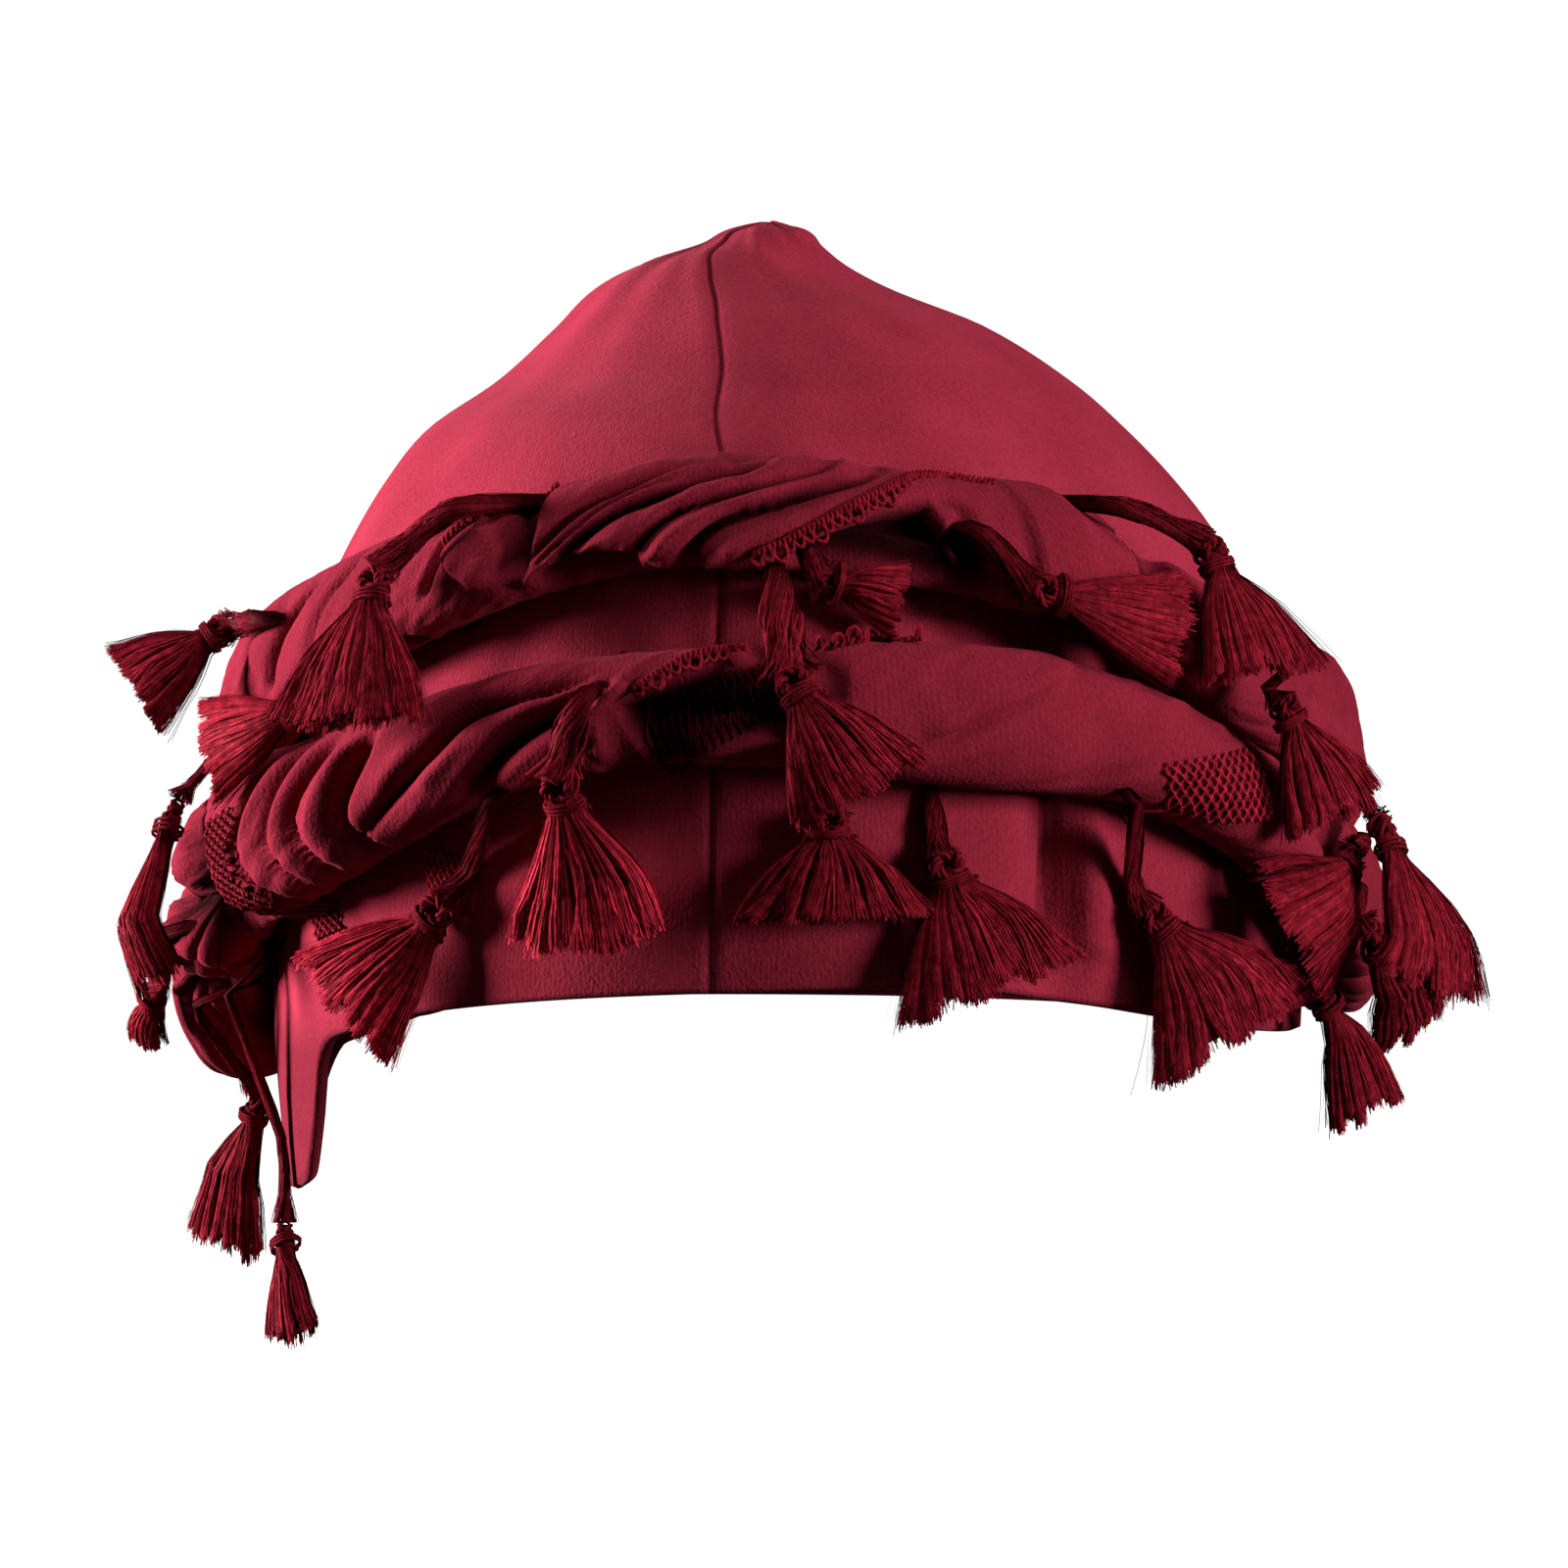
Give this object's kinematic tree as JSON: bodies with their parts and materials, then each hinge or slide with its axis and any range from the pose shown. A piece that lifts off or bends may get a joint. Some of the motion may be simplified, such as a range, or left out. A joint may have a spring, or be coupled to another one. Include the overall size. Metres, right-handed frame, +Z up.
{
  "type": "turban",
  "caption": "Pre-tied turban: a soft hollow cap with a centre seam and peak, wound with turns of a twisted scarf whose knotted edge carries hanging tassels.",
  "frame": {"origin": "middle of the head opening, at the height of the front hem", "axes": "+Z up towards the peak, front towards -Y, +X towards the wearer's left"},
  "size_m": [0.2205, 0.223, 0.1834],
  "materials": {
    "cap_jersey": "matte doubled jersey, burgundy",
    "scarf_jersey": "matte crinkled jersey, burgundy",
    "thread": "silky twisted thread, dark red"
  },
  "bodies": {
    "root": {"crown": "cap_jersey", "upper_wrap": "scarf_jersey", "lower_wrap": "scarf_jersey", "knotted_edge_upper": "thread", "knotted_edge_upper_left": "thread", "knotted_edge_lower": "thread", "knotted_edge_lower_right": "thread", "tassel_left_pale": "thread", "tassel_left_large": "thread", "tassel_left_end": "thread", "tassel_left_strand": "thread", "tassel_left_out": "thread", "tassel_left_low": "thread", "tassel_left_middle": "thread", "tassel_centre_small": "thread", "tassel_centre_low": "thread", "tassel_centre": "thread", "tassel_right_middle": "thread", "tassel_right_high": "thread", "tassel_right": "thread", "tassel_low_middle": "thread", "tassel_low_right": "thread", "tassel_right_dark": "thread", "tassel_right_low": "thread", "tassel_right_lower_out": "thread", "tassel_right_out": "thread", "tassel_left_lower": "thread", "tassel_left_lowest": "thread"}
  },
  "joints": []
}
